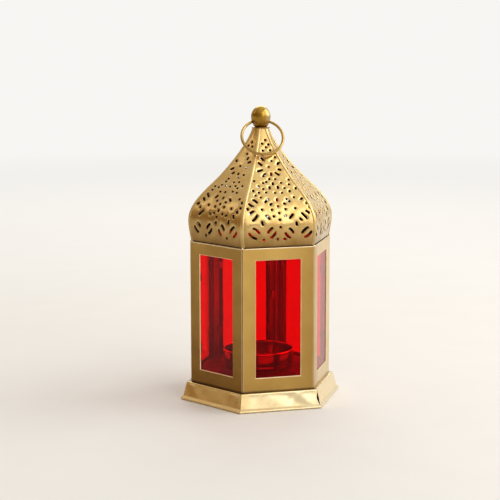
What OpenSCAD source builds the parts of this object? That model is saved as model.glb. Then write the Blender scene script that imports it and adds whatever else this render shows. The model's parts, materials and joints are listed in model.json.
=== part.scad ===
// Six-sided candle lantern of sheet brass and red glass.
// Folded wall frames hold one glass pane each and stand on a flared skirt.
// A pierced dome of six curved gores sits on a seat plate above them and
// carries a hollow ball with a swinging ring.  The rear wall is a hinged door
// with a turn catch.  Z is up, the origin is the middle of the base, and the
// front wall faces -Y.

/* [Walls] */
// Circumradius over the wall faces
body_r = 47.4; // [40:0.1:60]
// Height of the walls
wall_h = 92.5; // [60:0.5:140]
// Thickness of the wall sheet
wall_t = 0.7; // [0.5:0.1:1]
// Depth of the folded edges behind the wall face
fold_d = 3.2; // [3:0.1:4]
// Bevel along the outer edges of a wall
edge_bevel = 0.35; // [0.1:0.05:0.5]
// Gap between neighbouring sheets along a seam
seam = 0.15; // [0.05:0.05:0.4]

/* [Windows] */
// Width of the upright side strips
stile_w = 9; // [7:0.1:12]
// Height of the strip above a window
top_rail = 8; // [6:0.1:14]
// Height of the strip below a window
bottom_rail = 9.3; // [6:0.1:16]
// Bevel around a window
window_bevel = 0.45; // [0.1:0.05:0.5]
// Thickness of the glass
glass_t = 2; // [1.5:0.1:2.2]
// Width of glass hidden behind each strip
glass_lap = 2.5; // [1.5:0.1:3]
// Length of a pane clip
clip_l = 5; // [3:0.5:10]
// Thickness of a pane clip
clip_t = 0.4; // [0.2:0.05:0.5]
// Reach of a pane clip over the glass
clip_reach = 1.8; // [1:0.1:3]
// Width of a clip's soldered foot
clip_foot = 2; // [1:0.1:2.5]
// Distance of the clips from the window's ends
clip_inset = 15; // [8:0.5:25]

/* [Skirt] */
// Height of the skirt
skirt_h = 11.6; // [9:0.1:18]
// Thickness of the skirt sheet
skirt_t = 0.8; // [0.5:0.1:1]
// Ledge standing out round the walls
ledge_out = 2.5; // [1:0.1:5]
// Width of the ledge under the walls
ledge_in = 8; // [6:0.1:14]
// Outward slope of the skirt from the ledge to the flange
skirt_flare = 2; // [0:0.1:5]
// Width of the flange at the foot
foot_out = 1.6; // [0.5:0.1:4]
// Height of the flange's lip
lip_h = 1.4; // [1:0.1:2.5]
// Rounding of the bend at the ledge
skirt_bend = 0.7; // [0.3:0.1:1.2]

/* [Tray and cup] */
// Height of the tray floor above the ledge
tray_rise = 7.5; // [4:0.1:12]
// Thickness of the tray sheet
tray_t = 0.8; // [0.5:0.1:1]
// Clearance between the tray and the folded wall edges
tray_gap = 0.3; // [0.2:0.1:1]
// Outer radius of the candle cup at its rolled rim
cup_r = 22.9; // [19:0.1:24]
// Height of the candle cup
cup_h = 11.8; // [9:0.1:18]
// Thickness of the cup wall
cup_t = 0.6; // [0.4:0.1:1]
// Radius of the rolled rim's bead
rim_bead = 0.65; // [0.4:0.05:1]
// Height of the cup's stepped foot
cup_foot = 2.6; // [1.5:0.1:4]
// Width of the step above the foot
cup_step = 0.7; // [0.3:0.1:1.5]
// Distance of the cup from the middle of the tray
cup_off = 1.5; // [0:0.1:3]

/* [Dome] */
// Height of the dome from the seat plate to the neck
dome_h = 71; // [50:0.5:100]
// Thickness of the dome sheet
dome_t = 0.6; // [0.4:0.1:0.8]
// Thickness of the seat plate
seat_t = 0.6; // [0.4:0.1:1]
// Distance of the seat plate's edge inside the walls
seat_inset = 2.4; // [1:0.1:3]
// Distance of the dome's base inside the walls
dome_inset = 1.4; // [0.8:0.1:1.8]
// Width of the seat plate and of the dome's folded foot
seat_w = 5; // [3:0.1:8]
// Bulge of the dome beyond its base
bulge = 2.65; // [0:0.05:6]
// Circumradius of the neck
neck_r = 5.75; // [5:0.05:8]
// Width of a ridge strip
ridge_w = 1.3; // [0.8:0.1:2]
// Height of a ridge strip over the gores
ridge_out = 0.35; // [0.1:0.05:0.6]

/* [Piercing] */
// Width of a chiselled slot
slot_w = 1.25; // [0.8:0.05:1.4]
// Length of a slot in a flower
slot_l = 3.4; // [2:0.1:4]
// Diameter of a punched dot
dot_d = 1.6; // [1.2:0.1:1.8]
// Radius of the two lower flowers
low_flower_r = 7; // [6:0.1:8]
// Height of the lower flowers along the gore
low_flower_s = 24; // [22:0.1:26]
// Distance of the lower flowers from the gore's middle
low_flower_u = 10.7; // [10:0.1:12]
// Radius of the upper flower
top_flower_r = 6; // [5:0.1:6.5]
// Height of the upper flower along the gore
top_flower_s = 56.3; // [54:0.1:58]
// Spacing of the leaf pairs above the base
leaf_pitch = 11.3; // [10:0.1:12]
// Height of the leaf pairs along the gore
leaf_s = 8.9; // [8:0.1:10]
// Length of a leaf
leaf_l = 5.4; // [4.6:0.1:6.2]
// Distance of each leaf from the middle of its pair
leaf_apart = 1.7; // [1.4:0.1:2]
// Height of the single dot between the leaves along the gore
base_dot_s = 4.5; // [4:0.1:5]
// Height of the lowest dot of the middle column along the gore
column_s = 12.5; // [12:0.1:13]
// Spacing of the middle column
column_pitch = 4.6; // [4.4:0.1:4.8]
// Height of the dot field's lowest row along the gore
field_s = 34; // [33:0.1:35]
// Spacing of the dots across the field
field_pitch = 4.4; // [4:0.1:4.8]
// Distance between the rows of the dot field
field_rise = 3.3; // [3:0.1:3.5]
// Bare edge of the gore beside the dot field
field_edge = 3.6; // [3:0.1:4.5]
// Height of the topmost dot along the gore
neck_dot_s = 75.4; // [74:0.1:76]
// Distance between the rows of dots below the neck
neck_dot_pitch = 2.5; // [2.2:0.1:2.8]

/* [Ball and ring] */
// Thickness of the cap on the neck
cap_t = 0.6; // [0.4:0.1:1]
// Radius of the ball
ball_r = 6.6; // [5:0.1:8]
// Thickness of the ball's wall
ball_t = 0.5; // [0.4:0.1:0.7]
// Height of the ball above its widest line
ball_up = 6.9; // [5:0.1:8]
// Depth of the ball below its widest line
ball_down = 6.8; // [5:0.1:8]
// Distance of the ring's hole below the ball's widest line
hole_drop = 3.4; // [2:0.1:3.5]
// Radius of the ring's hole
hole_r = 1.85; // [1.6:0.05:2]
// Radius of the ring's wire
wire_r = 0.95; // [0.7:0.05:1.05]
// Radius of the ring at the wire's middle
ring_r = 13.3; // [12:0.05:18]
// Turn of the hole away from the front wall
ring_turn = 8; // [0:1:20]
// Lean of the resting ring from straight down
ring_lean = 40; // [38:0.5:60]

/* [Door] */
// Running gap around the door
door_gap = 0.35; // [0.3:0.05:0.8]
// Length of a hinge
hinge_l = 15; // [9:0.5:24]
// Distance of the hinges from the door's ends
hinge_inset = 10; // [6:0.5:20]
// Width of a hinge leaf
leaf_w = 6; // [4:0.1:7]
// Thickness of a hinge leaf
leaf_t = 0.6; // [0.5:0.1:0.8]
// Distance of the hinge pin outside the wall's corner
pin_out = 2.05; // [2:0.05:3]
// Radius of the hinge pin
pin_r = 0.55; // [0.4:0.05:0.6]
// Outer radius of a hinge knuckle
knuckle_r = 1.35; // [1.3:0.05:1.5]
// Gap between knuckles
knuckle_gap = 0.3; // [0.2:0.1:0.5]
// Running clearance round a pin or spindle
running = 0.05; // [0.03:0.01:0.1]
// Radius of the catch's knob
knob_r = 2.3; // [1.8:0.1:3]
// Length of the knob outside the door
knob_l = 4.5; // [3:0.5:8]
// Radius of the catch's spindle
spindle_r = 0.9; // [0.6:0.1:1]
// Distance of the spindle from the wall's corner
spindle_in = 4.5; // [4.4:0.1:4.8]
// Reach of the catch's tongue from its spindle
tongue_l = 4; // [3.6:0.1:4.2]
// Width of the catch's tongue
tongue_w = 3; // [2.4:0.1:3.6]
// Thickness of the catch's tongue
tongue_t = 0.8; // [0.6:0.1:1]

/* [Hidden] */
$fn = 64;
eps = 0.01;
far = 200;
sides = 6;
half = 180 / sides;
rear = 180;

wall_a = body_r * cos(half);
window_w = body_r - 2 * stile_w;
window_z0 = skirt_h + bottom_rail;
window_h = wall_h - top_rail - bottom_rail;
pane_w = window_w + 2 * glass_lap;
pane_h = window_h + 2 * glass_lap;
wall_top = skirt_h + wall_h;

fold_r = body_r - (fold_d + seam) / cos(half);
tray_r = fold_r - tray_gap / cos(half);
tray_top = skirt_h + tray_rise;

dome_base = wall_top + seat_t;
neck_z = dome_base + dome_h;
ball_base = neck_z + cap_t;
ball_mid = ball_base + ball_down;
ball_low = 8.4 * ball_down / 6.8;
hole_z = ball_mid - hole_drop;
hole_wall_r = ball_r * sqrt(1 - pow(hole_drop / ball_low, 2)) - ball_t / 2;
ring_off = sqrt(ring_r * ring_r - hole_wall_r * hole_wall_r);

door_h = wall_h - 2 * door_gap;
knuckle_l = (hinge_l - 2 * knuckle_gap) / 3;
hinge_low = skirt_h + door_gap + hinge_inset;
hinge_high = wall_top - door_gap - hinge_inset - hinge_l;
catch_z = skirt_h + wall_h / 2;
tongue_gap = 0.35;
tongue_y = fold_d + wall_t + tongue_gap;

// ---- outlines -------------------------------------------------------------

function unit(v) = v / norm(v);
function left_of(v) = [-v.y, v.x];

// Point i of an open path, moved d to the left with mitred corners
function beside(path, i, d) =
    let (last = len(path) - 1)
    let (before = unit(path[max(i, 1)] - path[max(i, 1) - 1]))
    let (after = unit(path[min(i, last - 1) + 1] - path[min(i, last - 1)]))
    let (n = unit(left_of(before) + left_of(after)))
    path[i] + n * d / (n * left_of(before));

// Closed outline of a sheet of thickness t to the left of a path
function sheet(path, t) = concat(
    path,
    [for (i = [len(path) - 1 : -1 : 0]) beside(path, i, t)]
);

// Point at t on a cubic curve through four control points
function curve_point(p, t) =
    pow(1 - t, 3) * p[0] + 3 * t * pow(1 - t, 2) * p[1]
    + 3 * t * t * (1 - t) * p[2] + pow(t, 3) * p[3];
function curve(p, n) = [for (i = [1 : n]) curve_point(p, i / n)];

// Ridge outline of the dome as radius and height above its base
dome_r = body_r - dome_inset;
bulge_r = dome_r + bulge;
shoulder = [neck_r + 0.556 * (bulge_r - neck_r), 0.554 * dome_h];
sweep = 0.741;
dome_low = [
    [dome_r, 0],
    [dome_r + 0.12 * bulge, 0.03 * dome_h],
    [bulge_r, 0.15 * dome_h],
    [bulge_r, 0.179 * dome_h]
];
dome_mid = [
    dome_low[3],
    [bulge_r, 0.334 * dome_h],
    shoulder + [0.173 * (bulge_r - neck_r), -0.095 * dome_h],
    shoulder
];
dome_high = [
    shoulder,
    shoulder + [-0.052 * (bulge_r - neck_r), 0.0285 * dome_h],
    [neck_r + 0.096 * (bulge_r - neck_r), 0.831 * dome_h],
    [neck_r, dome_h]
];
ridge_line = concat(
    [dome_low[0]], curve(dome_low, 5), curve(dome_mid, 7), curve(dome_high, 7)
);

// The same line across the flat of a gore
gore_line = [for (p = ridge_line) [p.x * cos(half), dome_base + p.y]];
function run_to(i) = i == 0 ? 0 : run_to(i - 1) + norm(gore_line[i] - gore_line[i - 1]);
gore_run = [for (i = [0 : len(gore_line) - 1]) run_to(i)];
run_reach = [for (i = [0 : len(gore_line) - 1]) [gore_run[i], gore_line[i].x]];
run_height = [for (i = [0 : len(gore_line) - 1]) [gore_run[i], gore_line[i].y]];
function reach_at(s) = lookup(s, run_reach);
function height_at(s) = lookup(s, run_height);
function slope_at(s) = atan2(
    height_at(s + 0.5) - height_at(s - 0.5),
    reach_at(s - 0.5) - reach_at(s + 0.5)
);
// Half width of a gore at s
function gore_half(s) = reach_at(s) * tan(half);

// ---- placing --------------------------------------------------------------

module on_side(n) {
    rotate([0, 0, 60 * n]) children();
}

// Extrudes an outline of reach and height along the face at -Y
module along_face(length) {
    rotate([90, 0, -90]) linear_extrude(length, center = true) children();
}

// Sector of one side, kept clear of both mitre planes
module sector(clear) {
    translate([0, 0, -far / 4])
        linear_extrude(2 * far)
            polygon([
                [0, -2 * clear],
                [far * tan(half), -2 * clear - far],
                [-far * tan(half), -2 * clear - far]
            ]);
}

module hex_plate(r, z0, z1) {
    translate([0, 0, z0]) cylinder(r = r, h = z1 - z0, $fn = sides);
}

// ---- walls ----------------------------------------------------------------

// Half width of a wall at depth d, clear of the mitre plane
function mitre_x(d, clear) = body_r / 2 - d * tan(half) - clear / cos(half);

// Block tapered to both mitre planes, with bevelled outer edges
module wall_block(z0, z1, clear) {
    face = mitre_x(0, clear) - edge_bevel;
    bend = mitre_x(edge_bevel, clear);
    back = mitre_x(fold_d, clear);
    intersection() {
        translate([0, -wall_a, z0])
            linear_extrude(z1 - z0)
                polygon([
                    [-face, 0], [face, 0], [bend, edge_bevel],
                    [back, fold_d], [-back, fold_d], [-bend, edge_bevel]
                ]);
        along_face(2 * body_r)
            polygon([
                [wall_a, z0 + edge_bevel], [wall_a, z1 - edge_bevel],
                [wall_a - edge_bevel, z1], [wall_a - fold_d, z1],
                [wall_a - fold_d, z0], [wall_a - edge_bevel, z0]
            ]);
    }
}

// Space inside the folded edges
module wall_hollow(z0, z1, clear) {
    fold = clear + wall_t;
    deep = fold_d + 1;
    translate([0, -wall_a, z0 + wall_t])
        linear_extrude(z1 - z0 - 2 * wall_t)
            polygon([
                [-mitre_x(wall_t, fold), wall_t], [mitre_x(wall_t, fold), wall_t],
                [mitre_x(deep, fold), deep], [-mitre_x(deep, fold), deep]
            ]);
}

// Window opening that widens to the outside by its bevel
module window_cut() {
    wide = window_w / 2 + window_bevel;
    low = window_z0 - window_bevel;
    high = window_z0 + window_h + window_bevel;
    deep = window_bevel;
    through = wall_t + 1;
    intersection() {
        translate([0, -wall_a, low])
            linear_extrude(high - low)
                polygon([
                    [-wide - 1, -1], [wide + 1, -1], [wide, 0],
                    [window_w / 2, deep], [window_w / 2, through],
                    [-window_w / 2, through], [-window_w / 2, deep], [-wide, 0]
                ]);
        along_face(2 * wide + 2)
            polygon([
                [wall_a + 1, low], [wall_a + 1, high], [wall_a, high],
                [wall_a - deep, high - deep], [wall_a - through, high - deep],
                [wall_a - through, low + deep], [wall_a - deep, low + deep],
                [wall_a, low]
            ]);
    }
}

module folded_frame(z0, z1, clear) {
    difference() {
        wall_block(z0, z1, clear);
        wall_hollow(z0, z1, clear);
        window_cut();
    }
}

module wall_frame(n) {
    color("goldenrod")
        on_side(n - 1)
            folded_frame(skirt_h, wall_top, seam / 2);
}

module glass_pane(n) {
    color([0.8, 0.05, 0.05, 0.5])
        on_side(n - 1)
            translate([-pane_w / 2, wall_t - wall_a, window_z0 - glass_lap])
                cube([pane_w, glass_t, pane_h]);
}

// Bent strip soldered beside the pane at x > 0, with its lip on the glass
module pane_clip(z) {
    edge = pane_w / 2 + clip_t / 2;
    foot = wall_t - wall_a;
    lip = foot + glass_t;
    translate([0, 0, z - clip_l / 2])
        linear_extrude(clip_l)
            polygon([
                [edge, foot], [edge + clip_foot, foot],
                [edge + clip_foot, foot + clip_t], [edge + clip_t, foot + clip_t],
                [edge + clip_t, lip + clip_t], [pane_w / 2 - clip_reach, lip + clip_t],
                [pane_w / 2 - clip_reach, lip], [edge, lip]
            ]);
}

module side_clips() {
    for (z = [window_z0 + clip_inset, window_z0 + window_h - clip_inset]) {
        pane_clip(z);
        mirror([1, 0, 0]) pane_clip(z);
    }
}

module pane_clips() {
    color("gold")
        for (n = [0, 1, 2, 4, 5]) on_side(n) side_clips();
}

// ---- door -----------------------------------------------------------------

module at_rear() {
    rotate([0, 0, rear]) children();
}

module door_frame() {
    color("goldenrod")
        at_rear()
            difference() {
                folded_frame(skirt_h + door_gap, wall_top - door_gap, door_gap);
                translate([spindle_in - body_r / 2, wall_t + 1 - wall_a, catch_z])
                    rotate([90, 0, 0])
                        cylinder(r = spindle_r + running, h = wall_t + 2);
            }
}

module door_clips() {
    color("gold") at_rear() side_clips();
}

// Moves to the corner that carries the hinges
module at_hinge_corner() {
    at_rear() translate([body_r / 2, -wall_a, 0]) children();
}

pin_x = pin_out * sin(half);
pin_y = -pin_out * cos(half);

// Leaf on the face at y = 0 left of the corner, reaching its knuckles
module hinge_leaf(z, knuckles, bore) {
    step = knuckle_l + knuckle_gap;
    difference() {
        union() {
            translate([-leaf_w, -leaf_t, z])
                cube([leaf_w - leaf_t * 2, leaf_t, hinge_l]);
            for (k = knuckles)
                translate([0, 0, z + k * step]) {
                    translate([-leaf_w / 2, -leaf_t, 0])
                        cube([leaf_w / 2 + pin_x, leaf_t, knuckle_l]);
                    translate([pin_x, pin_y, 0]) cylinder(r = knuckle_r, h = knuckle_l);
                }
        }
        translate([pin_x, pin_y, z - 1]) cylinder(r = bore, h = hinge_l + 2);
    }
}

module hinge_door_leaves() {
    color("peru")
        at_hinge_corner()
            for (z = [hinge_low, hinge_high])
                hinge_leaf(z, [1], pin_r + running);
}

module hinge_wall_leaves() {
    color("darkgoldenrod")
        at_hinge_corner()
            for (z = [hinge_low, hinge_high])
                rotate([0, 0, 60])
                    mirror([1, 0, 0])
                        hinge_leaf(z, [0, 2], pin_r);
}

module hinge_pins() {
    head = 0.6;
    color("khaki")
        at_hinge_corner()
            for (z = [hinge_low, hinge_high])
                translate([pin_x, pin_y, z]) {
                    cylinder(r = pin_r, h = hinge_l + eps);
                    translate([0, 0, hinge_l]) cylinder(r = knuckle_r * 0.8, h = head);
                }
}

module at_catch() {
    at_rear()
        translate([spindle_in - body_r / 2, -wall_a, catch_z])
            rotate([90, 0, 0]) children();
}

module catch_knob() {
    neck_l = 0.4;
    grip = knob_l - neck_l;
    color("gold")
        at_catch() {
            translate([0, 0, -tongue_y - tongue_t])
                cylinder(r = spindle_r, h = tongue_y + tongue_t + knob_l / 2);
            translate([0, 0, neck_l])
                rotate_extrude()
                    polygon(concat(
                        [[0, 0], [knob_r * 0.6, 0]],
                        [for (a = [-60 : 20 : 80])
                            [knob_r * cos(a), grip / 2 + grip / 2 * sin(a)]],
                        [[0, grip]]
                    ));
        }
}

// Tongue pointing up in its released place
module catch_tongue() {
    color("khaki")
        at_catch()
            translate([0, 0, -tongue_y - tongue_t])
                difference() {
                    union() {
                        cylinder(r = tongue_w / 2, h = tongue_t);
                        translate([-tongue_w / 2, 0, 0])
                            cube([tongue_w, tongue_l, tongue_t]);
                    }
                    translate([0, 0, -1]) cylinder(r = spindle_r, h = tongue_t + 2);
                }
}

// ---- skirt, tray and cup --------------------------------------------------

ledge_a = wall_a + ledge_out;
slope_a = ledge_a + skirt_flare;
foot_a = slope_a + foot_out;
skirt_path = [
    [foot_a, 0],
    [foot_a, lip_h - 0.5],
    [foot_a - 0.5, lip_h],
    [slope_a, lip_h + 0.8],
    [ledge_a, skirt_h - skirt_bend],
    [ledge_a - skirt_bend * 0.35, skirt_h - skirt_bend * 0.35],
    [ledge_a - skirt_bend, skirt_h],
    [wall_a - ledge_in, skirt_h]
];

module skirt_plate(n) {
    color("palegoldenrod")
        on_side(n - 1)
            intersection() {
                along_face(3 * body_r) polygon(sheet(skirt_path, skirt_t));
                sector(seam / 2);
            }
}

module base_tray() {
    color("darkgoldenrod")
        difference() {
            hex_plate(tray_r, skirt_h, tray_top);
            hex_plate(tray_r - tray_t / cos(half), skirt_h - 1, tray_top - tray_t);
        }
}

module candle_cup() {
    wall = cup_r - 2 * rim_bead + 0.5;
    rim_z = cup_h - rim_bead;
    step_r = wall + 0.1;
    foot_r = wall - cup_step;
    path = [
        [0, 0],
        [foot_r - 0.6, 0],
        [foot_r, 0.6],
        [foot_r + 0.1, cup_foot - 0.5],
        [step_r, cup_foot],
        [wall, cup_foot + 0.8],
        [wall, rim_z]
    ];
    color("burlywood")
        translate([-cup_off, 0, tray_top])
            rotate_extrude() {
                polygon(sheet(path, cup_t));
                translate([cup_r - rim_bead, rim_z]) circle(r = rim_bead);
            }
}

// ---- dome -----------------------------------------------------------------

// Places a cutter on the gore at u across and s along its surface
module on_gore(u, s) {
    translate([u, -reach_at(s), height_at(s)])
        rotate([slope_at(s), 0, 0]) children();
}

module dot(u, s, d = dot_d) {
    on_gore(u, s) cylinder(r = d / 2, h = 6 * dome_t, center = true, $fn = 8);
}

// Pointed slot, turned by a from the upright direction
module slot(u, s, a, l = slot_l) {
    tip = slot_w * 0.6;
    on_gore(u, s)
        rotate([0, 0, a])
            linear_extrude(6 * dome_t, center = true)
                polygon([
                    [0, l / 2], [-slot_w / 2, l / 2 - tip],
                    [-slot_w / 2, tip - l / 2], [0, -l / 2],
                    [slot_w / 2, tip - l / 2], [slot_w / 2, l / 2 - tip]
                ]);
}

// Ring of slots round a dot.  Rays listed in short are dots.
module flower(u, s, r, rays, skip, short) {
    dot(u, s);
    for (i = [0 : rays - 1])
        if (len(search(i, skip)) == 0) {
            a = 360 * i / rays;
            if (len(search(i, short)) > 0)
                dot(u - r * sin(a), s + r * cos(a));
            else
                slot(u - r * sin(a), s + r * cos(a), a);
        }
}

// Two parallel slots leaning by a
module leaf_pair(u, a) {
    for (side = [-1, 1])
        slot(u + side * leaf_apart * cos(a), leaf_s + side * leaf_apart * sin(a), a, leaf_l);
}

// Dots where two slanting rows cross, kept inside the gore
module dot_field() {
    for (row = [0 : 4])
        for (i = [-3 : 3]) {
            s = field_s + row * field_rise;
            u = (i + (row % 2) / 2) * field_pitch;
            if (abs(u) < gore_half(s) - field_edge && !(row == 0 && abs(i) == 3))
                dot(u, s, dot_d * 0.85);
        }
}

module piercing() {
    // Leaf pairs along the base
    leaf_pair(-1.5 * leaf_pitch, 50);
    leaf_pair(-0.5 * leaf_pitch, -45);
    leaf_pair(0.5 * leaf_pitch, 50);
    leaf_pair(1.5 * leaf_pitch, -45);
    dot(-low_flower_u, base_dot_s);
    // Lower flowers and the dots between them
    flower(-low_flower_u, low_flower_s, low_flower_r, 12, [0], [8, 9, 10]);
    flower(low_flower_u, low_flower_s, low_flower_r, 12, [0], [2, 3, 4]);
    for (i = [0 : 4]) dot(0, column_s + i * column_pitch);
    dot_field();
    // Upper flower and the dots below the neck
    flower(0, top_flower_s, top_flower_r, 9, [], []);
    for (p = [[0, 0], [-0.76, -1], [0.76, -1], [0, -2], [-0.96, -3], [0.96, -3]])
        dot(p.x * neck_dot_pitch, neck_dot_s + p.y * neck_dot_pitch, dot_d * 0.9);
}

module dome_gore(n) {
    foot = [gore_line[0].x - seat_w + 1, dome_base];
    color("gold")
        on_side(n - 1)
            difference() {
                intersection() {
                    along_face(3 * body_r)
                        polygon(sheet(concat([foot], gore_line), dome_t));
                    sector(ridge_w / 2);
                }
                piercing();
            }
}

// Strip that closes the mitre between two gores
module ridge_strip(n) {
    inner = [for (p = ridge_line) [p.x, dome_base + p.y]];
    outer = [for (i = [0 : len(inner) - 1]) beside(inner, i, -ridge_out)];
    deep = dome_t / cos(half) + ridge_w * tan(half) / 2;
    level = [for (p = outer) [p.x, max(p.y, dome_base)]];
    color("khaki")
        rotate([0, 0, 60 * n - half])
            intersection() {
                along_face(ridge_w)
                    polygon(concat(
                        [for (p = level) [p.x, min(p.y, neck_z)]],
                        [for (i = [len(inner) - 1 : -1 : 0])
                            let (q = beside(inner, i, deep))
                            [q.x, min(max(q.y, dome_base), neck_z)]]
                    ));
            }
}

module seat_plate() {
    color("darkgoldenrod")
        difference() {
            hex_plate(body_r - seat_inset, wall_top, dome_base);
            hex_plate(body_r - seat_inset - seat_w, wall_top - 1, dome_base + 1);
        }
}

// ---- ball and ring --------------------------------------------------------

module neck_cap() {
    color("darkgoldenrod") hex_plate(neck_r + ridge_out, neck_z, ball_base);
}

// Half outline of the egg-shaped ball, cut flat where it sits on the cap
function egg(inset) = [
    for (a = [-90 : 6 : 90])
        let (low = ball_low - inset)
        let (high = ball_up - inset)
        [(ball_r - inset) * cos(a), ball_mid + (a < 0 ? low : high) * sin(a)]
];

module finial_ball() {
    color("darkgoldenrod")
        difference() {
            rotate_extrude() polygon(egg(0));
            rotate_extrude() polygon(egg(ball_t));
            translate([-far / 2, -far / 2, ball_base - far]) cube([far, far, far]);
            translate([0, 0, hole_z])
                rotate([0, 0, -ring_turn])
                    rotate([0, 90, 0])
                        cylinder(r = hole_r, h = 4 * ball_r, center = true);
        }
}

module carry_ring() {
    color("gold")
        translate([0, 0, hole_z])
            rotate([-ring_lean, 0, -ring_turn])
                translate([0, 0, -ring_off])
                    rotate([90, 0, 0])
                        rotate_extrude()
                            translate([ring_r, 0]) circle(r = wire_r);
}

skirt_plate(1);  // skirt_plate_1
skirt_plate(2);  // skirt_plate_2
skirt_plate(3);  // skirt_plate_3
skirt_plate(4);  // skirt_plate_4
skirt_plate(5);  // skirt_plate_5
skirt_plate(6);  // skirt_plate_6
base_tray();
candle_cup();
wall_frame(1);  // wall_frame_1
wall_frame(2);  // wall_frame_2
wall_frame(3);  // wall_frame_3
wall_frame(5);  // wall_frame_5
wall_frame(6);  // wall_frame_6
door_frame();
glass_pane(1);  // glass_pane_1
glass_pane(2);  // glass_pane_2
glass_pane(3);  // glass_pane_3
glass_pane(5);  // glass_pane_5
glass_pane(6);  // glass_pane_6
glass_pane(4);  // door_pane
pane_clips();
door_clips();
hinge_wall_leaves();
hinge_door_leaves();
hinge_pins();
catch_knob();
catch_tongue();
seat_plate();
dome_gore(1);  // dome_gore_1
dome_gore(2);  // dome_gore_2
dome_gore(3);  // dome_gore_3
dome_gore(4);  // dome_gore_4
dome_gore(5);  // dome_gore_5
dome_gore(6);  // dome_gore_6
ridge_strip(1);  // ridge_strip_1
ridge_strip(2);  // ridge_strip_2
ridge_strip(3);  // ridge_strip_3
ridge_strip(4);  // ridge_strip_4
ridge_strip(5);  // ridge_strip_5
ridge_strip(6);  // ridge_strip_6
neck_cap();
finial_ball();
carry_ring();
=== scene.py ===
"""Six-sided candle lantern of sheet brass and red glass: looks, light and camera."""

import bmesh
import bpy
import json
import math
from mathutils import Matrix, Vector, geometry, noise

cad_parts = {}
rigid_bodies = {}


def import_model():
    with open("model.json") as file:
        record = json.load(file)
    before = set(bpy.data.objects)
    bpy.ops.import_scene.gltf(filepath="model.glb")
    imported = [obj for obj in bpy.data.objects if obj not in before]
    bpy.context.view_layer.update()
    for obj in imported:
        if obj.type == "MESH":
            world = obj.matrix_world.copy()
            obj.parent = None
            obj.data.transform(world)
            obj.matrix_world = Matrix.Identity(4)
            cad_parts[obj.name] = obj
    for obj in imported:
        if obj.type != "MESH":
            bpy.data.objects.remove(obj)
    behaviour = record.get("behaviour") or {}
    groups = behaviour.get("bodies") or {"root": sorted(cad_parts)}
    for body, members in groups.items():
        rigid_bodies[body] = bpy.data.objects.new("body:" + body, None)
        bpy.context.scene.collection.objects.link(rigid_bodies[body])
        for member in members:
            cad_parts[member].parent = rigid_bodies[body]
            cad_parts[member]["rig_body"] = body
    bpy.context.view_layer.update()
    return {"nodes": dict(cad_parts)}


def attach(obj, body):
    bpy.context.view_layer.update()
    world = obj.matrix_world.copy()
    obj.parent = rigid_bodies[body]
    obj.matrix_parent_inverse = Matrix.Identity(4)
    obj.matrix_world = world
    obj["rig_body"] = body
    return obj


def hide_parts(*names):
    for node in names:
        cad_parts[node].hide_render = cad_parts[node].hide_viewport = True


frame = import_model()

MM = 0.001
TO_MM = 1000
HALF_SIDE = math.radians(30)

# Sizes of the lantern in millimetres
BODY_R = 47.4
WALL_A = BODY_R * math.cos(HALF_SIDE)
SKIRT_H = 11.6
WALL_H = 92.5
WALL_TOP = SKIRT_H + WALL_H
SEAT_T = 0.6
DOME_BASE = WALL_TOP + SEAT_T
DOME_H = 71.0
NECK_R = 5.75
DOME_R = BODY_R - 1.4
FOOT_R = BODY_R - 0.6
BULGE = 2.65
DOME_T = 0.6
RIDGE_W = 1.3                   # gap between two gores, under the ridge bead
SEAM = 0.15
CAP_T = 0.6
BALL_R = 6.35
BALL_SEAT = 6.8                 # from the neck cap up to the middle of the ball
BALL_MID = DOME_BASE + DOME_H + CAP_T + BALL_SEAT
HOLE_DROP = 3.4
HOLE_Z = BALL_MID - HOLE_DROP
RING_TURN = math.radians(8)
RING_LEAN = math.radians(40)
RING_R = 13.3
RING_OFF = 11.976               # from the hole down to the middle of the ring
TRAY_TOP = 19.1
CUP_OFF = 1.5


# ---- material maths ---------------------------------------------------------

class Nodes:
    """A node tree that grows one node at a time."""

    def __init__(self, tree):
        self.tree = tree
        tree.nodes.clear()

    def add(self, kind, settings, inputs, out=0):
        """One node: its settings first, then its sockets by name or number."""
        node = self.tree.nodes.new(kind)
        for key, value in settings.items():
            setattr(node, key, value)
        for key, value in inputs.items():
            socket = node.inputs[key]
            if isinstance(value, Tap):
                self.tree.links.new(value.socket, socket)
            elif isinstance(value, tuple) and len(value) == 3 and socket.type == "RGBA":
                socket.default_value = (*value, 1)
            else:
                socket.default_value = value
        return Tap(self, node.outputs[out]) if node.outputs else None


class Tap:
    """A socket whose arithmetic adds Math nodes to its node tree."""

    def __init__(self, tree, socket):
        self.tree = tree
        self.socket = socket

    def out(self, name):
        return Tap(self.tree, self.socket.node.outputs[name])

    def _math(self, operation, *values):
        return self.tree.add("ShaderNodeMath", {"operation": operation},
                             dict(enumerate(values)))

    def __add__(self, other):
        return self._math("ADD", self, other)

    __radd__ = __add__

    def __sub__(self, other):
        return self._math("SUBTRACT", self, other)

    def __rsub__(self, other):
        return self._math("SUBTRACT", other, self)

    def __mul__(self, other):
        return self._math("MULTIPLY", self, other)

    __rmul__ = __mul__

    def clamp(self):
        return self.tree.add("ShaderNodeClamp", {}, {0: self})

    def most(self, other):
        return self._math("MAXIMUM", self, other)


def blend(tree, factor, first, second):
    """Colour from first at 0 to second at 1."""
    return tree.add("ShaderNodeMix", {"data_type": "RGBA"},
                    {0: factor, 6: first, 7: second}, out=2)


def place(tree, stretch=(1, 1, 1)):
    """Position on the piece in millimetres, stretched."""
    where = tree.add("ShaderNodeTexCoord", {}, {}, out="Object")
    return tree.add("ShaderNodeVectorMath", {"operation": "MULTIPLY"},
                    {0: where, 1: tuple(TO_MM * s for s in stretch)})


def cloud(tree, where, size, detail=3.0, rough=0.55):
    """Noise from 0 to 1 with features of the given size in millimetres."""
    return tree.add("ShaderNodeTexNoise", {},
                    {"Vector": where, "Scale": 1 / size, "Detail": detail,
                     "Roughness": rough})


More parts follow.
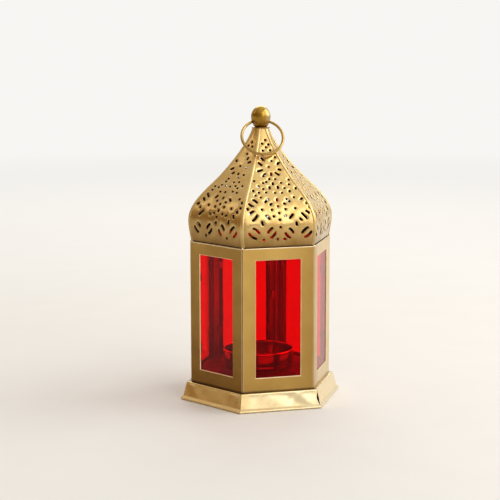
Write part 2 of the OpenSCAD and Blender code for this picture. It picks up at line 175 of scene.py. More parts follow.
def scale_range(tree, value, low, high, to_low=0.0, to_high=1.0):
    """Value stretched from low and high to the new ends, and held between them."""
    return tree.add("ShaderNodeMapRange", {},
                    {0: value, 1: low, 2: high, 3: to_low, 4: to_high})


def new_material(name):
    material = bpy.data.materials.new(name)
    material.use_nodes = True
    return material, Nodes(material.node_tree)


def end(tree, shader):
    tree.add("ShaderNodeOutputMaterial", {}, {"Surface": shader})


TARNISH = (0.16, 0.09, 0.02)
SPECK_SIZE = 1.3
ROUGH_SPREAD = 0.12


def brass(name, bright, deep, rough, blotch=9.0, wave=6.0, wave_h=0.06,
          grain=0.25, grain_h=0.01, grain_stretch=(1, 1, 1),
          tarnish_amount=0.25, coat=0.0, metal=1.0, shade=None):
    """Sheet brass: blotches between two tones, tarnish specks, waves and grain.

    Blotch, wave and grain are sizes in millimetres, wave_h and grain_h heights."""
    material, tree = new_material(name)
    where = place(tree)
    tone = scale_range(tree, cloud(tree, where, blotch, 2.5), 0.34, 0.66)
    colour = blend(tree, tone, deep, bright)
    streak = cloud(tree, place(tree, grain_stretch), grain, 4.0, 0.6)
    specks = scale_range(tree, cloud(tree, where, SPECK_SIZE, 5.0, 0.7), 0.6, 0.78)
    stain = (specks * tarnish_amount).clamp()
    colour = blend(tree, stain, colour, TARNISH)
    if shade:
        colour = shade(tree, colour)
    roughness = scale_range(tree, streak * 0.5 + tone * 0.5, 0.3, 0.7,
                            rough + ROUGH_SPREAD, rough - ROUGH_SPREAD * 0.5)
    height = cloud(tree, where, wave, 2.0, 0.5) * wave_h + streak * grain_h
    bump = tree.add("ShaderNodeBump", {},
                    {"Strength": 1.0, "Distance": MM, "Height": height})
    shader = tree.add("ShaderNodeBsdfPrincipled", {},
                      {"Base Color": colour, "Metallic": metal, "Roughness": roughness,
                       "Coat Weight": coat, "Coat Roughness": 0.25, "Normal": bump})
    end(tree, shader)
    return material


def painted_light_bands(*bands):
    """Painted light and shade: takes a colour towards others along X or Z.

    A band is its axis, where it starts and where it is full, in millimetres on
    the piece, its strength and its colour."""
    def shade(tree, colour):
        where = place(tree)
        split = tree.add("ShaderNodeSeparateXYZ", {}, {0: where})
        drift = cloud(tree, where, 12) - 0.5
        for axis, start, full, amount, tone in bands:
            uneven = split.out(axis) + drift * (0.4 * abs(full - start))
            band_mask = scale_range(tree, uneven, start, full)
            colour = blend(tree, band_mask * amount, colour, tone)
        return colour
    return shade


def red_glass():
    """Clear red glass that lets lamp light through to the cup."""
    material, tree = new_material("red_glass")
    where = place(tree)
    waves = cloud(tree, where, 9.0, 1.5)
    depth = scale_range(tree, waves, 0.3, 0.7)
    tint = blend(tree, depth, (0.90, 0.006, 0.014), (0.95, 0.01, 0.02))
    bump = tree.add("ShaderNodeBump", {},
                    {"Strength": 0.25, "Distance": MM, "Height": waves * 0.12})
    glass = tree.add("ShaderNodeBsdfPrincipled", {},
                     {"Base Color": tint, "Roughness": 0.02, "IOR": 1.45,
                      "Specular Tint": (1.0, 0.10, 0.12),
                      "Transmission Weight": 1.0, "Normal": bump})
    open_way = tree.add("ShaderNodeBsdfTransparent", {}, {"Color": (0.92, 0.008, 0.017)})
    ray = tree.add("ShaderNodeLightPath", {}, {}, out="Is Shadow Ray")
    end(tree, tree.add("ShaderNodeMixShader", {}, {0: ray, 1: glass, 2: open_way}))
    return material


# ---- meshes -----------------------------------------------------------------

PIECE_CREASE = math.radians(35)     # sharper edges than these stay sharp
SOFT_CREASE = math.radians(40)
BEVEL_FROM = math.radians(25)
BEVEL_STEPS = 2
BEND_AREA = 4 * MM * MM             # larger faces of a softened node are flat sheet


def show(name, mesh, body):
    """Object for a mesh, riding on a body."""
    piece = bpy.data.objects.new(name, mesh)
    bpy.context.scene.collection.objects.link(piece)
    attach(piece, body)
    return piece


def make_piece(name, points, faces, material, body, inside=None, inside_from=0):
    """Mesh piece from points in millimetres, riding on a body.

    Faces with a point at or after inside_from take the inside material."""
    mesh = bpy.data.meshes.new(name)
    mesh.from_pydata([Vector(p) * MM for p in points], [], faces)
    mesh.validate()
    work = bmesh.new()
    work.from_mesh(mesh)
    bmesh.ops.recalc_face_normals(work, faces=work.faces)
    work.to_mesh(mesh)
    work.free()
    for polygon in mesh.polygons:
        polygon.use_smooth = True
    mesh.set_sharp_from_angle(angle=PIECE_CREASE)
    mesh.materials.append(material)
    if inside:
        mesh.materials.append(inside)
        for polygon in mesh.polygons:
            if max(polygon.vertices) >= inside_from:
                polygon.material_index = 1
    return show(name, mesh, body)


def softened(node, material, width=0.12, cut_edge_highlight=None, side=1):
    """Copy of a CAD node with its sharp edges rounded, shown in its place.

    Faces that slant from the wall of that side, the cut edges round its window, take the
    second material; the walls give them a paler one, a painted highlight."""
    source = frame["nodes"][node]
    turn = math.radians(60 * side - 60)
    facing = Vector((math.sin(turn), -math.cos(turn), 0))
    work = bmesh.new()
    work.from_mesh(source.data)
    bmesh.ops.remove_doubles(work, verts=work.verts, dist=1e-7)
    bmesh.ops.dissolve_limit(work, angle_limit=math.radians(1), verts=work.verts,
                             edges=work.edges)
    sharp = [e for e in work.edges
             if len(e.link_faces) == 2 and e.calc_face_angle() > BEVEL_FROM]
    bmesh.ops.bevel(work, geom=sharp, offset=width * MM, segments=BEVEL_STEPS,
                    profile=0.5, affect="EDGES", clamp_overlap=True)
    work.verts.index_update()
    mesh = bpy.data.meshes.new(node + "_soft")
    mesh.from_pydata([v.co for v in work.verts], [],
                     [[v.index for v in f.verts] for f in work.faces])
    work.free()
    mesh.set_sharp_from_angle(angle=SOFT_CREASE)
    mesh.materials.append(material)
    if cut_edge_highlight:
        mesh.materials.append(cut_edge_highlight)
    for polygon in mesh.polygons:
        polygon.use_smooth = polygon.area < BEND_AREA
        if cut_edge_highlight and 0.5 < abs(polygon.normal.dot(facing)) < 0.97:
            polygon.material_index = 1
    piece = show(node + "_soft", mesh, source["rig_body"])
    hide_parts(node)


def grid_faces(rows, columns, closed=False, start=0):
    """Quads over a grid of points, row by row."""
    last = columns if closed else columns - 1
    return [
        (start + r * columns + c,
         start + r * columns + (c + 1) % columns,
         start + (r + 1) * columns + (c + 1) % columns,
         start + (r + 1) * columns + c)
        for r in range(rows - 1) for c in range(last)
    ]


def lathe(outline, steps, wobble=None):
    """Points and faces of an outline of radius and height turned round Z."""
    points = []
    for radius, height in outline:
        for i in range(steps):
            angle = 2 * math.pi * i / steps
            shift = wobble(angle, height) if wobble and radius > 0.01 else 0
            points.append(((radius + shift) * math.cos(angle),
                           (radius + shift) * math.sin(angle), height))
    return points, grid_faces(len(outline), steps, closed=True)


def turned(points, degrees):
    spin = Matrix.Rotation(math.radians(degrees), 3, "Z")
    return [spin @ Vector(p) for p in points]


def ripple(x, y, z, size):
    """Smooth noise from -1 to 1 with features of the given size."""
    return noise.noise(Vector((x / size, y / size, z / size)))


# ---- dome -------------------------------------------------------------------

def cubic(control, t):
    a, b, c, d = (Vector(p) for p in control)
    s = 1 - t
    return a * s ** 3 + b * 3 * s * s * t + c * 3 * s * t * t + d * t ** 3


def ridge_outline(steps):
    """Radius and height of the dome's ridge from its base to the neck."""
    bulge_r = DOME_R + BULGE - 0.1
    span = bulge_r - NECK_R
    shoulder = (NECK_R + 0.556 * span, 0.554 * DOME_H)
    parts = [
        ((FOOT_R, 0), (FOOT_R + 0.35, 0.045 * DOME_H),
         (bulge_r, 0.12 * DOME_H), (bulge_r, 0.179 * DOME_H)),
        ((bulge_r, 0.179 * DOME_H), (bulge_r, 0.334 * DOME_H),
         (shoulder[0] + 0.173 * span, shoulder[1] - 0.095 * DOME_H), shoulder),
        (shoulder, (shoulder[0] - 0.052 * span, shoulder[1] + 0.0285 * DOME_H),
         (NECK_R + 0.096 * span, 0.831 * DOME_H), (NECK_R, DOME_H)),
    ]
    line = [Vector(parts[0][0])]
    for part in parts:
        line += [cubic(part, i / steps) for i in range(1, steps + 1)]
    return [(p.x, DOME_BASE + p.y) for p in line]


RIDGE = ridge_outline(20)
RUN = [0.0]
for before, after in zip(RIDGE, RIDGE[1:]):
    reach = (after[0] - before[0]) * math.cos(HALF_SIDE)
    RUN.append(RUN[-1] + math.hypot(reach, after[1] - before[1]))
GORE_LENGTH = RUN[-1]


def on_gore(s):
    """Reach, height and upward direction of a gore at s along its middle."""
    s = min(max(s, 0), GORE_LENGTH)
    i = max(k for k in range(len(RUN) - 1) if RUN[k] <= s)
    t = (s - RUN[i]) / (RUN[i + 1] - RUN[i])
    low, high = RIDGE[i], RIDGE[i + 1]
    cos = math.cos(HALF_SIDE)
    reach = (low[0] + (high[0] - low[0]) * t) * cos
    height = low[1] + (high[1] - low[1]) * t
    along = Vector(((high[0] - low[0]) * cos, high[1] - low[1])).normalized()
    return reach, height, along


def half_width(s):
    """Half of a gore's width at s, short of the ridges at its two sides."""
    return on_gore(s)[0] * math.tan(HALF_SIDE) - RIDGE_W / 2 / math.cos(HALF_SIDE)


# Punch marks on the front gore, in millimetres and degrees: across, along, turn
# from upright, length. A length of 0 is a round dot.
FRONT_MARKS = [
    (0.6, 75.4, 0, 0), (-1.7, 72.9, 0, 0), (2.3, 72.3, 0, 0), (0.4, 70.3, 0, 0),
    (-2.0, 68.0, 0, 0), (2.8, 68.1, -30, 0),
    (-3.3, 62.1, 35, 3.6), (-5.3, 58.5, 45, 4.0), (-6.2, 53.6, -75, 4.5),
    (-4.1, 50.2, -42, 3.8), (0.5, 50.6, 0, 3.1), (4.6, 50.8, 50, 4.2),
    (6.7, 54.0, 62, 2.9), (6.7, 58.6, -45, 3.1), (5.2, 63.1, -20, 1.9),
    (2.5, 60.5, -15, 1.6), (-0.1, 56.2, 0, 0),
    (-1.3, 47.1, -20, 2.0), (2.5, 46.8, -40, 1.8), (-11.5, 45.9, 0, 0),
    (11.3, 46.2, 0, 0), (-5.9, 44.3, 0, 0), (-3.7, 44.9, 0, 0), (0.3, 43.4, 0, 2.7),
    (5.8, 43.8, 0, 0), (10.8, 42.5, 0, 0), (-9.5, 41.6, -15, 2.2),
    (-2.4, 40.4, -5, 3.0), (3.0, 40.4, 5, 3.0), (-6.7, 39.5, 0, 0),
    (7.2, 39.7, -50, 1.8), (-13.5, 38.3, -5, 2.4), (14.5, 39.3, -10, 2.4),
    (-10.1, 36.7, 0, 0), (-5.4, 36.7, 0, 0), (0.4, 36.1, 0, 0),
    (4.8, 36.1, -30, 1.8), (10.1, 37.2, 0, 2.4), (-12.7, 34.6, 20, 1.7),
    (-9.6, 33.0, -40, 1.7), (11.9, 32.4, 0, 0),
    (-6.3, 30.5, -42, 4.5), (-13.9, 30.2, 45, 4.5), (-16.8, 27.7, 50, 4.4),
    (-19.4, 25.0, 10, 2.4), (-17.2, 22.3, -55, 4.5), (-15.4, 19.0, -42, 5.8),
    (-10.7, 15.4, 10, 3.6), (-7.0, 19.0, 42, 4.2), (-3.9, 24.0, 0, 0),
    (-3.9, 27.8, -45, 2.6), (-3.1, 19.5, 0, 0), (-10.3, 24.3, 0, 0),
    (7.7, 30.3, 42, 4.2), (16.6, 31.0, -45, 2.9), (19.4, 27.9, -35, 2.2),
    (21.0, 24.8, 35, 2.2), (19.2, 21.7, 50, 3.6), (17.0, 19.2, 42, 6.2),
    (14.4, 17.1, 40, 2.9), (11.6, 14.3, 5, 3.3), (8.3, 19.2, -42, 4.6),
    (5.0, 24.1, 0, 0), (5.0, 27.9, 60, 2.3), (4.4, 19.6, 0, 0), (11.4, 24.5, 0, 0),
    (0.6, 30.9, 0, 2.9), (0.4, 26.2, 0, 0), (0.5, 21.6, 0, 0), (0.6, 17.2, 0, 0),
    (1.0, 12.5, 0, 0),
    (-14.7, 10.5, 50, 6.4), (-16.9, 7.4, 52, 7.2), (-5.6, 10.6, -42, 5.5),
    (-3.6, 7.7, -42, 6.1), (8.1, 9.9, 42, 5.1), (6.0, 7.1, 45, 5.8),
    (17.2, 9.9, -48, 6.4), (19.2, 7.3, -48, 6.7),
    (-9.6, 4.6, 0, 0), (-0.9, 4.7, -70, 2.4), (4.1, 4.7, 70, 2.4),
]

# The left gore, cut by the same hand but never quite alike
LEFT_MARKS = [
    (0.3, 73.6, 0, 0), (-1.6, 71.0, 0, 0), (1.9, 70.6, 0, 0), (0.2, 68.4, 0, 0),
    (0.2, 65.2, 0, 0), (-6.1, 59.6, 55, 2.6), (2.5, 62.0, -10, 2.6),
    (5.3, 59.5, -70, 3.2), (-0.7, 56.1, 0, 0), (4.8, 55.4, 0, 0),
    (-6.3, 53.6, -55, 3.3), (-3.6, 50.5, -50, 2.9), (6.4, 49.8, 60, 2.0),
    (1.2, 50.2, 0, 2.2),
    (-4.7, 45.9, 0, 0), (-5.4, 43.6, 0, 0), (-7.1, 40.7, 0, 0), (-3.0, 40.4, 0, 0),
    (1.7, 43.6, 0, 0), (3.3, 47.6, 0, 0), (6.0, 44.1, 0, 0), (0.7, 39.9, 0, 0),
    (5.0, 40.9, 0, 0), (7.6, 39.5, 0, 0), (-8.5, 38.5, 0, 0), (-12.2, 39.0, 0, 0),
    (-12.7, 36.1, 0, 0), (-0.4, 35.4, 0, 0), (5.5, 36.4, 0, 0), (10.6, 41.5, 0, 0),
    (9.4, 36.0, 0, 0), (-4.8, 35.2, 0, 0),
    (-13.6, 31.8, 45, 4.5), (-15.2, 28.5, 50, 3.6), (-18.7, 25.0, -70, 3.1),
    (-15.7, 22.6, 0, 0), (-13.4, 19.4, -45, 5.8), (-5.4, 19.4, 30, 2.9),
    (-2.0, 20.0, 0, 0), (-2.8, 24.3, 0, 0), (-3.4, 28.5, 0, 0),
    (-5.6, 31.4, -35, 3.2), (-9.0, 24.9, 0, 0),
    (7.4, 30.1, 50, 3.4), (14.8, 31.5, -30, 2.2), (18.4, 29.1, 30, 2.4),
    (19.2, 25.4, 60, 2.2), (17.4, 22.6, 45, 3.4), (15.6, 19.3, 30, 3.2),
    (11.9, 15.5, -5, 3.4), (9.0, 19.5, -50, 2.4), (5.5, 20.0, 0, 0),
    (5.0, 24.6, 0, 0), (4.6, 28.1, 0, 0), (11.7, 24.2, 0, 0),
    (0.7, 31.0, 0, 2.4), (1.3, 21.9, 0, 2.4), (0.6, 26.4, 0, 0), (1.0, 17.8, 0, 0),
    (1.0, 14.1, 0, 2.4),
    (-14.5, 11.3, 45, 4.4), (-17.0, 8.2, 40, 5.8), (-5.8, 11.1, -45, 5.4),
    (-4.7, 8.1, -45, 5.8), (7.0, 11.5, 35, 4.7), (4.3, 8.1, 30, 4.8),
    (15.3, 10.8, -45, 6.6), (17.6, 8.1, -45, 5.8), (9.9, 4.9, 0, 0),
    (-8.9, 4.8, 0, 0),
]
EDGE_BEND = 4.7         # radius of a gore's side edges, rolled over to the ridge
SLOT_W = 1.7
DOT_D = 1.8
DOT_STRETCH = 1.18      # a dot's height over its width
TWIN_SLOT = 3.9         # only slots longer than this are bowed
TWIN_GAP = 5.5
TWIN_TURN = 14
BOW = 0.085
RIM_DIP = 0.28          # the punch draws the sheet in round each mark
RIM_W = 0.6
DENT_H = 0.24
SMALL_DENT_H = 0.07
FOLD_W = 4.0            # width of the foot, folded in over the seat plate
FOLD_IN = 0.2
SMALL_PUNCH = 0.55      # the rear gores are punched with smaller tools
REAR_GORES = (2, 3, 4)
MIRRORED_GORES = (1, 2, 3)
LEFT_PATTERN_GORES = (2, 3, 5)
GORE_ROWS = 56
GORE_GRID = 1.6         # spacing of the points between the marks
GRID_HALF_W = 30        # wider than half of any gore
ROW_PITCH = 0.87        # rows of the grid stand closer than its points
RIM_RING = 0.42         # ring of points round each mark
EDGE_CLEAR = 0.3        # how far that ring keeps from the sheet's edges
SIDE_CLEAR = 0.7        # how far the grid keeps from the sides
MARK_CLEAR = 0.75       # and from the marks
CUT_SLACK = 0.02        # rounding allowed where a triangle meets an edge
CALM_W = 2.0            # dents die out this near the sides
CALM_FOOT = 3           # and this near the foot
SET_IN = 0.05


def bowed(marks):
    """Marks with the bow of each long slot, which curves away from its twin."""
    done = []
    for i, (u, s, turn, length) in enumerate(marks):
        bow = 0
        if length > TWIN_SLOT:
            twins = [(math.hypot(v - u, r - s), v - u, r - s)
                     for k, (v, r, other, reach) in enumerate(marks)
                     if k != i and reach > TWIN_SLOT and abs(other - turn) < TWIN_TURN]
            gap, du, ds = min(twins, default=(GORE_LENGTH, 0, 0))
            if gap < TWIN_GAP:
                angle = math.radians(turn)
                bow = -BOW * length * math.copysign(
                    1, du * math.cos(angle) + ds * math.sin(angle))
        done.append((u, s, turn, length, bow))
    return done


def mark_loop(mark, punch, grow=0.0):
    """Outline of one punch mark, with rounded ends."""
    u, s, turn, length, bow = mark
    if length == 0:
        radius = DOT_D * punch / 2 + grow
        return [(u + radius * math.cos(a), s + radius * DOT_STRETCH * math.sin(a))
                for a in (2 * math.pi * i / 10 for i in range(10))]
    angle = math.radians(turn)
    radius = SLOT_W * punch / 2 + grow
    reach = length / 2 + grow - radius
    loop = []
    for end_sign in (1, -1):
        for i in range(5):
            a = math.radians(-80 + 40 * i)
            x = radius * math.sin(a) * end_sign
            y = (reach + radius * math.cos(a)) * end_sign
            loop.append((x, y))
        if bow:
            loop += [(-radius * end_sign, 0.45 * reach * end_sign * t) for t in (1, -1)]
    loop = [(x + bow * (1 - (2 * y / length) ** 2), y) for x, y in loop]
    cos, sin = math.cos(angle), math.sin(angle)
    return [(u + x * cos - y * sin, s + x * sin + y * cos) for x, y in reversed(loop)]


def from_mark(mark, punch, u, s):
    """Distance of a point from a mark's edge, negative inside it."""
    mu, ms, turn, length, bow = mark
    if length == 0:
        return math.hypot(u - mu, s - ms) - DOT_D * punch / 2
    angle = math.radians(turn)
    du, ds = u - mu, s - ms
    x = du * math.cos(angle) + ds * math.sin(angle)
    y = -du * math.sin(angle) + ds * math.cos(angle)
    x -= bow * (1 - min(1, abs(2 * y / length)) ** 2)
    width = SLOT_W * punch
    return math.hypot(x, max(abs(y) - (length - width) / 2, 0)) - width / 2


def nearest_mark(marks, punch, u, s):
    return min(from_mark(m, punch, u, s) for m in marks)


def marks_on(n):
    """Punch marks of a gore: the left one's, or the front one's, as struck or mirrored."""
    marks = LEFT_MARKS if n in LEFT_PATTERN_GORES else FRONT_MARKS
    if n not in MIRRORED_GORES:
        return marks
    rise = 0.6 if n in REAR_GORES else 0
    return [(-u, s + rise, -turn, length) for u, s, turn, length in marks]


def gore_plan(marks, punch):
    """Flat gore: points across and along it, and the outlines that bound the sheet."""
    points, edges = [], []

    def add_loop(loop):
        first = len(points)
        points.extend(loop)
        edges.extend((first + i, first + (i + 1) % len(loop)) for i in range(len(loop)))

    def add_free(u, s, from_side, from_mark_edge):
        if (abs(u) < half_width(s) - from_side
                and nearest_mark(marks, punch, u, s) > from_mark_edge):
            points.append((u, s))

    sides = [GORE_LENGTH * i / GORE_ROWS for i in range(GORE_ROWS + 1)]
    base = half_width(0)
    neck = half_width(GORE_LENGTH)
    add_loop(
        [(-half_width(s), s) for s in sides]
        + [(neck * t, GORE_LENGTH) for t in (-0.5, 0, 0.5)]
        + [(half_width(s), s) for s in reversed(sides)]
        + [(base * (1 - i / 12), 0) for i in range(1, 24)]
    )
    for mark in marks:
        add_loop(mark_loop(mark, punch))
    for mark in marks:
        for u, s in mark_loop(mark, punch, RIM_RING):
            if EDGE_CLEAR < s < GORE_LENGTH - EDGE_CLEAR:
                add_free(u, s, EDGE_CLEAR, EDGE_CLEAR)
    row = 0
    s = GORE_GRID
    while s < GORE_LENGTH - GORE_GRID / 2:
        u = -GRID_HALF_W + (row % 2) * GORE_GRID / 2
        while u < GRID_HALF_W:
            add_free(u, s, SIDE_CLEAR, MARK_CLEAR)
            u += GORE_GRID
        s += GORE_GRID * ROW_PITCH
        row += 1
    return points, edges


def gore_skin(flat, marks, punch, seed):
    """Outer and inner points of the beaten sheet over its flat points."""
    outer, inner = [], []
    for p in flat:
        reach, height, along = on_gore(p.y)
        outward = Vector((0, -along.y, -along.x))
        point = Vector((p.x, -reach, height))
        edge = half_width(p.y) - abs(p.x)
        calm = min(1, max(0, edge / CALM_W)) * min(1, p.y / CALM_FOOT)
        dent = DENT_H * ripple(p.x + seed, p.y, seed, 9.0)
        dent += SMALL_DENT_H * ripple(p.x, p.y + seed, seed, 3.6) - 0.08
        gap = nearest_mark(marks, punch, p.x, p.y)
        rim = -RIM_DIP * max(0, 1 - max(gap, 0) / RIM_W) ** 1.5
        bent = max(0, EDGE_BEND * math.tan(HALF_SIDE) - edge - 0.75)
        roll = EDGE_BEND - math.sqrt(EDGE_BEND ** 2 - bent ** 2)
        outer.append(point + outward * (dent * calm - SET_IN + rim - roll))
        inner.append(point - outward * DOME_T)
    return outer, inner


def folded_foot(first):
    """Strip along a gore's base, folded in, with points numbered from first."""
    outside = on_gore(0)[0] - FOLD_IN
    inside = on_gore(0)[0] - FOLD_W
    points = []
    for reach, lift in ((outside, 0.02), (inside, 0.02), (inside, DOME_T), (outside, DOME_T)):
        side = reach * math.tan(HALF_SIDE) - 0.1
        points += [Vector((side * t, -reach, DOME_BASE + lift)) for t in (-1, 1)]
    left = [first + 2 * k for k in range(4)]
    faces = [(a, b, b + 1, a + 1) for a, b in zip(left, left[1:] + left[:1])]
    faces.append((left[0], left[3], left[2], left[1]))
    faces.append(tuple(a + 1 for a in left))
    return points, faces


def gore_mesh(marks, punch, seed):
    """Pierced sheet: triangles between the gore's outline and its punch marks."""
    marks = bowed(marks)
    points, edges = gore_plan(marks, punch)
    found = geometry.delaunay_2d_cdt([Vector(p) for p in points], edges, [], 0, 1e-5)
    flat, triangles = found[0], found[2]
    kept = []
    for tri in triangles:
        u = sum(flat[i].x for i in tri) / 3
        s = sum(flat[i].y for i in tri) / 3
        if (abs(u) < half_width(s) + CUT_SLACK
                and nearest_mark(marks, punch, u, s) > -CUT_SLACK):
            kept.append(tuple(tri))
    outer, inner = gore_skin(flat, marks, punch, seed)
    count = len(outer)
    faces = kept + [tuple(count + i for i in reversed(tri)) for tri in kept]
    borders = {}
    for tri in kept:
        for a, b in zip(tri, tri[1:] + tri[:1]):
            key = (min(a, b), max(a, b))
            borders[key] = None if key in borders else (a, b)
    faces += [(b, a, a + count, b + count) for a, b in filter(None, borders.values())]
    foot, foot_faces = folded_foot(2 * count)
    return outer + inner + foot, faces + foot_faces, count


def ridge_mesh(seed):
    """Solder strip along one ridge, with a rounded back."""
    half, top, crown, root = 1.25, -0.1, 0.85, -1.6
    section = [(-half, root)]
    for k in range(11):
        a = math.radians(-90 + 18 * k)
        section.append((half * math.sin(a), top - crown * (1 - math.cos(a))))
    section.append((half, root))
    points = []
    for i, (radius, height) in enumerate(RIDGE):
        low = RIDGE[max(i - 1, 0)]
        high = RIDGE[min(i + 1, len(RIDGE) - 1)]
        along = Vector((high[0] - low[0], high[1] - low[1])).normalized()
        out = Vector((along.y, -along.x))
        if i in (0, len(RIDGE) - 1):
            out = Vector((1, 0))
        sway = 0.08 * ripple(seed, height, 0, 14)
        swell = 0.08 * (ripple(seed, height, 5, 11) - 0.5)
        for side, lift in section:
            lift = lift + swell if lift > -0.7 else lift    # only the back swells
            points.append((side + sway, -(radius + out.x * lift), height + out.y * lift))
    columns = len(section)
    faces = grid_faces(len(RIDGE), columns, closed=True)
    faces.append(tuple(range(columns)))
    faces.append(tuple(range(len(points) - columns, len(points))))
    return points, faces


# ---- skirt ------------------------------------------------------------------

LEDGE_A = WALL_A + 2.5
SLOPE_W = 2.0
SLOPE_A = LEDGE_A + SLOPE_W
FOOT_A = SLOPE_A + 1.6
SKIRT_T = 0.8
CREASE_H = 0.20
SMALL_CREASE_H = 0.08
SLIT_MID = 6            # height at which a mitre gapes most
SLIT_REACH = 4.6        # and how far above and below it the slit runs
CLOSED = 0.05           # slit of a mitre that is soldered up


def skirt_outline():
    """Reach, height and outward normal down the skirt, with rounded bends."""
    path = [(WALL_A - 8, SKIRT_H)]
    path += [(WALL_A - 6 + i * 2.0, SKIRT_H) for i in range(4)]
    path += [(LEDGE_A - 0.75, SKIRT_H - 0.02), (LEDGE_A - 0.35, SKIRT_H - 0.14),
             (LEDGE_A - 0.08, SKIRT_H - 0.42), (LEDGE_A + 0.02, SKIRT_H - 0.8)]
    path += [(LEDGE_A + SLOPE_W * t, SKIRT_H - 0.8 - (SKIRT_H - 3.2) * t)
             for t in (0.12, 0.25, 0.38, 0.5, 0.62, 0.75, 0.88, 1.0)]
    path += [(SLOPE_A + 0.5, 2.0), (SLOPE_A + 1.0, 1.62), (FOOT_A - 0.25, 1.35),
             (FOOT_A - 0.05, 1.1), (FOOT_A, 0.75), (FOOT_A - 0.08, 0.4), (FOOT_A - 0.5, 0.0)]
    lines = []
    for i, p in enumerate(path):
        low, high = path[max(i - 1, 0)], path[min(i + 1, len(path) - 1)]
        along = Vector((high[0] - low[0], high[1] - low[1])).normalized()
        lines.append((p[0], p[1], Vector((-along.y, along.x))))
    return lines


def skirt_mesh(number, slit_left, slit_right):
    """Hand-folded skirt plate with creases, opened by a slit at each end's mitre."""
    outline = skirt_outline()
    columns = 61
    tuck = SKIRT_T * math.tan(HALF_SIDE)
    outer, inner = [], []
    for reach, height, out in outline:
        mitre = reach * math.tan(HALF_SIDE) - SEAM / 2 / math.cos(HALF_SIDE)
        slope = max(0, 1 - abs(height - SLIT_MID) / SLIT_REACH)
        soft = min(1, max(0, (height - 0.6) / 1.5)) * min(1, (SKIRT_H - height) / 1.2)
        for c in range(columns):
            t = -1 + 2 * c / (columns - 1)
            slit = slit_left if t < 0 else slit_right
            x = t * (mitre - slit * slope)
            near_end = min(1, (1 - abs(t)) * 9)
            crease = CREASE_H * ripple(x + 1.3 * height + 31 * number, 0.4 * height, 3, 12)
            crease += SMALL_CREASE_H * ripple(x - 0.8 * height, 17 * number, 7, 5)
            crease = (crease - 0.12) * soft * (0.35 + 0.65 * near_end)
            point = Vector((x, -reach, height))
            outward = Vector((0, -out.x, out.y))
            outer.append(point + outward * crease)
            inner.append(point - outward * SKIRT_T - Vector((t * tuck, 0, 0)))
    rows = len(outline)
    count = rows * columns
    faces = grid_faces(rows, columns) + grid_faces(rows, columns, start=count)
    rim = [(0, c) for c in range(columns)]
    rim += [(r, columns - 1) for r in range(1, rows)]
    rim += [(rows - 1, c) for c in range(columns - 2, -1, -1)]
    rim += [(r, 0) for r in range(rows - 2, 0, -1)]
    ring = [r * columns + c for r, c in rim]
    faces += [(a, b, b + count, a + count) for a, b in zip(ring, ring[1:] + ring[:1])]
    return outer + inner, faces


# ---- ball, ring and cup -----------------------------------------------------

BALL_T = 0.5
BALL_UP = 6.9           # from the middle of the ball to its top
BALL_LOW = 8.4          # the lower half is longer, and cut off at its seat
HOLE_R = 1.85
DRILL_L = 24            # longer than the ball is wide


def ball_mesh():
    """Hollow beaten ball, open where it sits on the neck."""
    def shell(inset, rows):
        low, high = BALL_LOW - inset, BALL_UP - inset
        lowest = -math.asin(min(1, BALL_SEAT / low))
        line = []
        for i in range(rows + 1):
            a = lowest + (math.pi / 2 - lowest) * i / rows
            height = (low if a < 0 else high) * math.sin(a)
            line.append(((BALL_R - inset) * max(math.cos(a), 0.002), BALL_MID + height))
        return line

    def beaten(angle, height):
        x, y = BALL_R * math.cos(angle), BALL_R * math.sin(angle)
        return -0.05 + 0.12 * ripple(x, y, height, 3.2) + 0.05 * ripple(x, y, height, 1.4)

    steps = 72
    outer = shell(0, 40)
    inner = list(reversed(shell(BALL_T, 24)))
    points, faces = lathe(outer, steps, beaten)
    more, more_faces = lathe(inner, steps)
    start = len(points)
    points += more
    faces += [tuple(start + i for i in f) for f in more_faces]
    last = start + (len(inner) - 1) * steps
    faces += [(i, (i + 1) % steps, last + (i + 1) % steps, last + i)
              for i in range(steps)]
    top = (len(outer) - 1) * steps
    faces.append(tuple(top + i for i in range(steps)))
    faces.append(tuple(start + i for i in range(steps)))
    return points, faces


def drill_ball(ball):
    """Cuts the ring's hole through both sides of the ball."""
    work = bmesh.new()
    turn = Matrix.Rotation(-RING_TURN, 4, "Z") @ Matrix.Rotation(math.pi / 2, 4, "Y")
    bmesh.ops.create_cone(work, cap_ends=True, segments=32, radius1=HOLE_R * MM,
                          radius2=HOLE_R * MM, depth=DRILL_L * MM,
                          matrix=Matrix.Translation((0, 0, HOLE_Z * MM)) @ turn)
    mesh = bpy.data.meshes.new("ring_hole")
    work.to_mesh(mesh)
    work.free()
    drill = bpy.data.objects.new("ring_hole", mesh)
    bpy.context.scene.collection.objects.link(drill)
    cut = ball.modifiers.new("hole", "BOOLEAN")
    cut.object = drill
    cut.operation = "DIFFERENCE"
    cut.solver = "EXACT"
    graph = bpy.context.evaluated_depsgraph_get()
    done = bpy.data.meshes.new_from_object(ball.evaluated_get(graph))
    ball.modifiers.clear()
    ball.data = done
    for polygon in done.polygons:
        polygon.use_smooth = True
    done.set_sharp_from_angle(angle=SOFT_CREASE)
    bpy.data.objects.remove(drill)


WIRE_R = 0.95
JOINT_DIP = 0.12        # the wire is thinner at its butt joint


